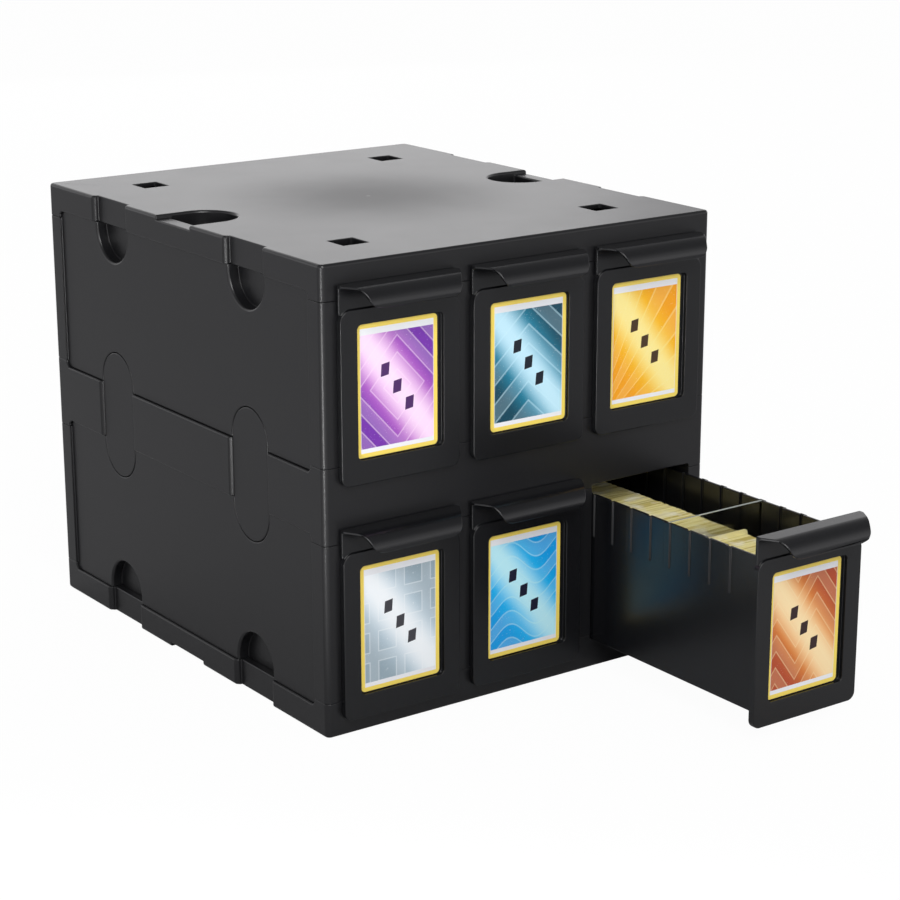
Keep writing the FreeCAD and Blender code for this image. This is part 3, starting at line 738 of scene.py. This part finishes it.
def soft_copy(node: str, name: str, softness: EdgeSoftness, material: bpy.types.Material,
              body: str, slot: str) -> bpy.types.Object:
    """Copy a plain solid, join its faces and soften its edges.

    Args:
        node: Solid that the copy stands for.
        name: Name of the new piece.
        softness: Rounding of the edges.
        material: Finish.
        body: Rigid body that the piece moves with.
        slot: Name of a material slot, handed on to link_piece.

    Returns:
        The new piece.
    """
    shape = bmesh.new()
    shape.from_mesh(frame["nodes"][node].data)
    bmesh.ops.remove_doubles(shape, verts=shape.verts, dist=WELD)
    bmesh.ops.dissolve_limit(shape, angle_limit=math.radians(FLAT_TURN), verts=shape.verts,
                             edges=shape.edges, delimit={"NORMAL"})
    softness.weigh(shape)
    mesh = to_mesh(shape, name)
    smooth_mesh(mesh, softness.angle)
    piece = link_piece(name, mesh, material, body, slot)
    bevel = piece.modifiers.new("soft_edges", "BEVEL")
    bevel.width = softness.widest
    bevel.segments = softness.segments
    bevel.limit_method = "WEIGHT"
    bevel.use_clamp_overlap = False
    bevel.harden_normals = True
    flat = piece.modifiers.new("flat_faces", "WEIGHTED_NORMAL")
    flat.keep_sharp = True
    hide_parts(node)
    return piece


def add_card(shape: bmesh.types.BMesh, low: Vector, high: Vector, arc: int,
             foot_too: bool) -> None:
    """Add a thin upright card with rounded corners, its faces towards -Y and +Y.

    Args:
        shape: Mesh under construction.
        low: Lowest corner of the card's box.
        high: Highest corner.
        arc: Straight pieces in each rounded corner.
        foot_too: Whether the lower corners are rounded as well as the upper ones.
    """
    made = bmesh.ops.create_cube(shape, size=1.0)["verts"]
    size = high - low
    middle = (low + high) / 2
    bmesh.ops.scale(shape, vec=size, verts=made)
    bmesh.ops.translate(shape, vec=middle, verts=made)
    edges = dict.fromkeys(edge for vertex in made for edge in vertex.link_edges)
    corners = [edge for edge in edges
               if abs(edge.verts[0].co.y - edge.verts[1].co.y) > size.y / 2
               and (foot_too or edge.verts[0].co.z > middle.z)]
    bmesh.ops.bevel(shape, geom=corners, offset=CARD_ROUND, segments=arc, profile=0.5,
                    affect="EDGES", material=-1)


def body_of_node(node: str) -> str:
    """Name of the rigid body that carries a solid."""
    return next(body for body, nodes in BODIES.items() if node in nodes)


def corners_of(node: str) -> tuple[Vector, Vector]:
    """Lowest and highest corner of a solid's box."""
    low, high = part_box(node)
    return Vector(low), Vector(high)


def to_mesh(shape: bmesh.types.BMesh, name: str) -> bpy.types.Mesh:
    """Turn a finished shape into a mesh of the given name."""
    mesh = bpy.data.meshes.new(name)
    shape.to_mesh(mesh)
    shape.free()
    return mesh


# ------------------------------------------------------------------ cabinet and drawers

@dataclass
class Cabinet:
    """Levels, panels, partitions and clips."""

    finish: MouldedPlastic = MouldedPlastic("case_black", (0.0065, 0.0065, 0.0075), 0.34)
    clip_finish: MouldedPlastic = MouldedPlastic("clip_black", (0.0062, 0.0062, 0.0072), 0.36)
    top_finish: MouldedPlastic = MouldedPlastic("top_black", (0.0068, 0.0068, 0.0078), 0.33,
                                                gate_reach=0.13)
    levels: tuple[str, ...] = ("bottom_panel", "middle_shelf", "top_panel")
    level_edge: float = 1.1 * MM
    outer_rim: float = 2.0 * MM
    corner: float = 4.1 * MM
    grip_rim: float = 1.6 * MM
    grip_half: float = 24.0 * MM
    socket_rim: float = 0.5 * MM
    socket_corner: float = 1.8 * MM
    socket_place: tuple[float, float] = (105.0 * MM, 133.0 * MM)
    socket_reach: float = 11.0 * MM
    socket_deep: float = 13.0 * MM
    seat_rim: float = 1.6 * MM
    seat_reach: float = 27.0 * MM
    seat_span: float = 0.9
    field_sink: float = 2.0 * MM
    fine_edge: float = 0.45 * MM
    clip_edge: float = 0.9 * MM

    def upright_in_socket(self, first: Vector, last: Vector) -> bool:
        """Test for the upright corners of the stacking sockets."""
        near = all(abs(abs(first[axis]) - place) < self.socket_reach
                   for axis, place in enumerate(self.socket_place))
        return near and abs(first.z - last.z) > self.socket_deep

    def along_rim(self, first: Vector, last: Vector) -> bool:
        """Test for edges along a level's outer rim."""
        side, rear = START_BOX[1][0], START_BOX[1][1]
        return all(abs(end.x) > side - self.corner or abs(end.y) > rear - self.corner
                   for end in (first, last))

    def level_softness(self, node: str) -> EdgeSoftness:
        """Edges of a level: broad along its outer rim, crisp round its sockets.

        Args:
            node: Solid of the level.

        Returns:
            The softness.
        """
        low, high = corners_of(node)
        low.y, high.y = -self.grip_half, self.grip_half
        outer = at(2, START_BOX[1][2] if node == "top_panel" else START_BOX[0][2])
        faces = () if node == "middle_shelf" else (
            (self.outer_rim, both(outer, self.along_rim)),
            (self.grip_rim, both(outer, within(low, high))),
            (self.socket_rim, outer),
            (self.socket_corner, self.upright_in_socket))
        return EdgeSoftness(self.level_edge, rims=faces)

    def side_softness(self, node: str) -> EdgeSoftness:
        """Edges of a side panel: crisp, with a broad bead round its two open clip seats.

        Args:
            node: Solid of the panel.

        Returns:
            The softness.
        """
        low, high = corners_of(node)
        end = high.z if "_upper_" in node else low.z
        low.z, high.z = end - self.seat_reach, end + self.seat_reach
        low.y, high.y = low.y * self.seat_span, high.y * self.seat_span
        face = at(0, START_BOX[1][0] - self.field_sink)
        return EdgeSoftness(self.fine_edge, rims=(
            (self.fine_edge, at(2, end)), (self.seat_rim, both(face, within(low, high))),
            (self.clip_edge, face)))

    def build(self) -> None:
        """Dress every solid of the cabinet."""
        case = self.finish.build()
        clip = self.clip_finish.build()
        top = self.top_finish.build()
        for node in BODIES["cabinet"]:
            is_clip = node.startswith("clip_")
            if node in self.levels:
                softness = self.level_softness(node)
            elif node.startswith("side_panel_"):
                softness = self.side_softness(node)
            else:
                softness = EdgeSoftness(self.clip_edge if is_clip else self.fine_edge)
            material = clip if is_clip else top if node == "top_panel" else case
            piece = soft_copy(node, f"moulded_{node}", softness, material, "cabinet",
                              "case_plastic")
            log.info("cabinet piece %s, %d faces", piece.name, len(piece.data.polygons))


@dataclass
class Drawer:
    """One drawer: tray, hooded front, label card and divider."""

    row: str
    column: str
    label: LabelStyle
    tray_material: bpy.types.Material
    clear_material: bpy.types.Material
    tray_edge: float = 0.45 * MM
    tray_segments: int = 2
    outside_lap: float = 1.1 * MM
    ridge_edge: float = 0.45 * MM
    ridge_length: float = 10.0 * MM
    ridge_foot: float = 2.6 * MM
    ridge_drop: float = 31.0 * MM
    foot_width: float = 0.5 * MM
    front_edge: float = 0.8 * MM
    window_edge: float = 0.35 * MM
    window_margin: float = 4.0 * MM
    divider_edge: float = 0.3 * MM
    divider_segments: int = 2

    @property
    def name(self) -> str:
        """Row and column of the drawer."""
        return f"{self.row}_{self.column}"

    def tray_softness(self) -> EdgeSoftness:
        """Edges of the tray: crisp, with rounded ridges that end in round feet.

        Returns:
            The softness.
        """
        low, high = corners_of(f"tray_{self.name}")
        wall = (high.x - low.x) / 2 - self.outside_lap
        middle = (high.x + low.x) / 2

        def outside(first: Vector, last: Vector) -> bool:
            """Test for edges on the tray's outer side faces."""
            return all(abs(end.x - middle) > wall for end in (first, last))

        def foot(first: Vector, last: Vector) -> bool:
            """Test for the slanting lower end of a ridge."""
            return (abs(first.x - last.x) > self.foot_width
                    and max(first.z, last.z) < high.z - self.ridge_drop)

        def upright(first: Vector, last: Vector) -> bool:
            """Test for the upright edges of a ridge."""
            return (abs(first.z - last.z) > self.ridge_length
                    and min(first.z, last.z) > low.z + self.ridge_length)

        return EdgeSoftness(self.tray_edge, self.tray_segments, rims=(
            (self.ridge_foot, both(outside, foot)), (self.ridge_edge, both(outside, upright))))

    def front_softness(self) -> EdgeSoftness:
        """Edges of the front: soft, crisp round the card pocket.

        Returns:
            The softness.
        """
        low, high = corners_of(f"label_{self.name}")
        margin = Vector.Fill(3, self.window_margin)
        return EdgeSoftness(self.front_edge, rims=(
            (self.window_edge, within(low - margin, high + margin)),))

    def build(self) -> None:
        """Build and dress the drawer's pieces."""
        body = f"drawer_{self.name}"
        for part, softness, material, slot in (
                ("tray", self.tray_softness(), self.tray_material, "drawer_plastic"),
                ("front", self.front_softness(), self.tray_material, "drawer_plastic"),
                ("divider", EdgeSoftness(self.divider_edge, self.divider_segments),
                 self.clear_material, "divider_plastic")):
            node = f"{part}_{self.name}"
            piece = soft_copy(node, f"moulded_{node}", softness, material, body, slot)
            log.info("drawer piece %s, %d faces", piece.name, len(piece.data.polygons))
        self.build_label(body)

    def build_label(self, body: str) -> None:
        """Make the label card with rounded corners.

        Args:
            body: Rigid body of the drawer.
        """
        node = f"label_{self.name}"
        low, high = corners_of(node)
        card_print = CardPrint(f"print_{self.name}", self.label.motif, self.label.inks,
                               (low + high) / 2)
        shape = bmesh.new()
        add_card(shape, low, high, LABEL_ARC, foot_too=True)
        mesh = to_mesh(shape, f"card_{self.name}")
        smooth_mesh(mesh, LABEL_SMOOTH)
        piece = link_piece(f"label_card_{self.name}", mesh, card_print.build(), body,
                           self.label.slot)
        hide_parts(node)
        log.info("label card %s, %s", piece.name, self.label.motif.value)


@dataclass
class CardRow:
    """Cards that stand one behind another in the open drawer."""

    node: str
    material: bpy.types.Material
    seed: int
    raised_place: float | None = None
    raised_lift: float = 3.5 * MM
    pitch: float = 0.46 * MM
    thickness: float = 0.34 * MM
    sway: float = 0.5 * MM
    sway_kept: float = 0.86
    sway_step: float = 0.35
    rise: float = 0.8 * MM

    def build(self) -> None:
        """Build the row as one piece of many thin cards."""
        low, high = corners_of(self.node)
        draw = random.Random(self.seed)
        shape = bmesh.new()
        count = int((high.y - low.y) / self.pitch)
        aside = 0.0
        for i in range(count):
            aside = self.sway_kept * aside + draw.uniform(-1, 1) * self.sway_step * self.sway
            lift = draw.uniform(0, self.rise) * draw.random()
            front = low.y + i * self.pitch
            if self.raised_place is not None and abs(front - self.raised_place) < self.pitch / 2:
                lift = self.raised_lift
            add_card(shape, Vector((low.x + aside, front, low.z)),
                     Vector((high.x + aside, front + self.thickness, high.z - self.rise + lift)),
                     ROW_ARC, foot_too=False)
        piece = link_piece(f"standing_{self.node}", to_mesh(shape, self.node), self.material,
                           body_of_node(self.node), "card_edges")
        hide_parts(self.node)
        log.info("card row %s, %d cards", self.node, count)


# ------------------------------------------------------------------ stage

@dataclass(frozen=True)
class SoftBox:
    """Square area light aimed at the cabinet."""

    name: str
    place: Triple
    size: float
    power: float


@dataclass
class Stage:
    """Pale floor, soft lights and camera."""

    camera_place: Triple = (-0.9325, -1.3989, 0.6167)
    heading: float = 35.686
    pitch: float = 16.251
    roll: float = -0.075
    lens: float = 94.08
    sensor: float = 36.0
    floor_half: float = 12.0
    floor_glow: float = 1.03
    floor_glow_share: float = 0.94
    floor_tone: Colour = (0.42, 0.42, 0.425)
    patch_tone: Colour = (0.95, 0.95, 0.95)
    patch_ahead: tuple[float, float] = (0.45, 0.75)
    patch_aside: tuple[float, float] = (0.35, 0.80)
    ambient: Colour = (0.72, 0.72, 0.73)
    horizon: Colour = (1.15, 1.14, 1.16)
    zenith: Colour = (0.22, 0.22, 0.225)
    sky_rise: tuple[float, float] = (0.10, 0.70)
    soft_boxes: tuple[SoftBox, ...] = (SoftBox("key", (-1.2, -2.6, 2.4), 1.6, 62.0),
                                       SoftBox("back", (0.9, 2.6, 1.3), 2.6, 14.0))
    aim_place: Triple = (0.0, 0.0, 0.15)
    glint_place: Triple = (-0.90, -0.72, 0.02)
    glint_heading: float = 35.6
    glint_size: tuple[float, float] = (0.9, 0.12)
    glint_power: float = 9.0

    def build(self) -> None:
        """Make everything that isn't part of the cabinet."""
        self.add_camera()
        self.add_floor()
        self.add_world()
        for box in self.soft_boxes:
            self.add_soft_box(box)
        self.add_glint()
        bpy.context.scene.view_settings.view_transform = "Standard"

    def add_camera(self) -> None:
        """Camera at a seller's usual three quarter view."""
        data = bpy.data.cameras.new("camera")
        data.sensor_width = self.sensor
        data.lens = self.lens
        camera = bpy.data.objects.new("camera", data)
        turn = (Matrix.Rotation(-math.radians(self.heading), 4, "Z")
                @ Matrix.Rotation(math.radians(90.0 - self.pitch), 4, "X")
                @ Matrix.Rotation(math.radians(self.roll), 4, "Z"))
        camera.matrix_world = Matrix.Translation(self.camera_place) @ turn
        bpy.context.scene.collection.objects.link(camera)
        bpy.context.scene.camera = camera

    def add_floor(self) -> None:
        """Floor plane that stays near white and keeps the shadow."""
        shape = bmesh.new()
        bmesh.ops.create_grid(shape, x_segments=1, y_segments=1, size=self.floor_half)
        mesh = to_mesh(shape, "floor")
        material, graph = new_material("floor_white")
        x, y, _ = graph.axes()
        ahead = ((x + y) * -1.0).ramp(*self.patch_ahead)
        aside = abs(x - y).ramp(*self.patch_aside)
        paper = graph.mix(ahead * (1.0 - aside), self.floor_tone, self.patch_tone)
        diffuse = graph.node("ShaderNodeBsdfDiffuse", {}, {"Color": paper})
        glow = graph.node("ShaderNodeEmission", {}, {"Strength": self.floor_glow})
        seen = graph.node("ShaderNodeLightPath", output="Is Camera Ray")
        graph.surface(graph.blend(seen * self.floor_glow_share, diffuse, glow))
        mesh.materials.append(material)
        floor = bpy.data.objects.new("floor", mesh)
        bpy.context.scene.collection.objects.link(floor)

    def add_world(self) -> None:
        """White surroundings for the camera, dimmer in reflections and for the light they give."""
        world = bpy.data.worlds.new("studio")
        bpy.context.scene.world = world
        world.use_nodes = True
        graph = Graph(world.node_tree)
        seen = graph.node("ShaderNodeLightPath", output="Is Camera Ray")
        mirrored = graph.node("ShaderNodeLightPath", output="Is Glossy Ray")
        _, _, rise = graph.split(graph.node("ShaderNodeTexCoord", output="Generated"))
        sky = graph.mix(rise.ramp(*self.sky_rise), self.horizon, self.zenith)
        light = graph.mix(mirrored, self.ambient, sky)
        colour = graph.mix(seen, light, (1.0, 1.0, 1.0))
        background = graph.node("ShaderNodeBackground", {}, {"Color": colour})
        graph.node("ShaderNodeOutputWorld", {}, {"Surface": background})

    def add_soft_box(self, box: SoftBox) -> None:
        """Large soft light that looks at the cabinet."""
        data = bpy.data.lights.new(box.name, "AREA")
        data.shape = "SQUARE"
        data.size = box.size
        data.energy = box.power
        light = bpy.data.objects.new(box.name, data)
        place = Vector(box.place)
        aim = (Vector(self.aim_place) - place).to_track_quat("-Z", "Y")
        light.matrix_world = Matrix.Translation(place) @ aim.to_matrix().to_4x4()
        bpy.context.scene.collection.objects.link(light)

    def add_glint(self) -> None:
        """Strip of light on the floor that picks out the upright edges."""
        data = bpy.data.lights.new("glint", "AREA")
        data.shape = "RECTANGLE"
        data.size, data.size_y = self.glint_size
        data.energy = self.glint_power
        light = bpy.data.objects.new("glint", data)
        light.matrix_world = (Matrix.Translation(self.glint_place)
                              @ Matrix.Rotation(math.radians(self.glint_heading), 4, "Z")
                              @ Matrix.Rotation(math.pi, 4, "X"))
        bpy.context.scene.collection.objects.link(light)


# ------------------------------------------------------------------ labels and main

LABELS = {
    "upper_left": LabelStyle(Motif.DIAMONDS, Palette(
        deep=(0.17, 0.03, 0.38), mid=(0.62, 0.18, 0.66), light=(0.98, 0.76, 0.95),
        mark=(0.07, 0.02, 0.12)), "label_purple"),
    "upper_middle": LabelStyle(Motif.CHEVRONS, Palette(
        deep=(0.003, 0.06, 0.10), mid=(0.02, 0.34, 0.53), light=(0.60, 0.88, 1.0),
        mark=(0.005, 0.01, 0.02)), "label_teal"),
    "upper_right": LabelStyle(Motif.RAYS, Palette(
        deep=(0.92, 0.36, 0.004), mid=(1.0, 0.62, 0.02), light=(1.0, 0.86, 0.34),
        mark=(0.06, 0.03, 0.01)), "label_amber"),
    "lower_left": LabelStyle(Motif.TILES, Palette(
        deep=(0.30, 0.39, 0.45), mid=(0.62, 0.75, 0.84), light=(0.95, 0.98, 1.0),
        mark=(0.05, 0.05, 0.06)), "label_grey"),
    "lower_middle": LabelStyle(Motif.WAVES, Palette(
        deep=(0.005, 0.34, 0.80), mid=(0.02, 0.58, 1.0), light=(0.58, 0.93, 1.0),
        mark=(0.01, 0.01, 0.03)), "label_blue"),
    "lower_right": LabelStyle(Motif.PEAKS, Palette(
        deep=(0.46, 0.07, 0.02), mid=(0.92, 0.34, 0.05), light=(1.0, 0.80, 0.46),
        mark=(0.03, 0.01, 0.01)), "label_red"),
}
RAISED_CARD = -273.5 * MM
FRONT_SEED, REAR_SEED = 11, 23


def main() -> None:
    """Build the cabinet, its drawers, the cards and the stage."""
    logging.basicConfig(level=logging.INFO, format="%(name)s: %(message)s")
    Stage().build()
    Cabinet().build()
    drawer_plastic = MouldedPlastic("drawer_black", (0.0052, 0.0054, 0.0064), 0.25).build()
    tops = tuple(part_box(f"divider_{row}_left")[1][2] for row in ("lower", "upper"))
    clear = ClearPlastic("divider_clear", (0.93, 0.95, 0.96), 0.04, tops).build()
    for place, label in LABELS.items():
        row, column = place.split("_")
        Drawer(row, column, label, drawer_plastic, clear).build()
    stock = CardStock("card_edges").build()
    CardRow("cards_front", stock, FRONT_SEED, RAISED_CARD).build()
    CardRow("cards_rear", stock, REAR_SEED).build()


if __name__ == "__main__":
    main()
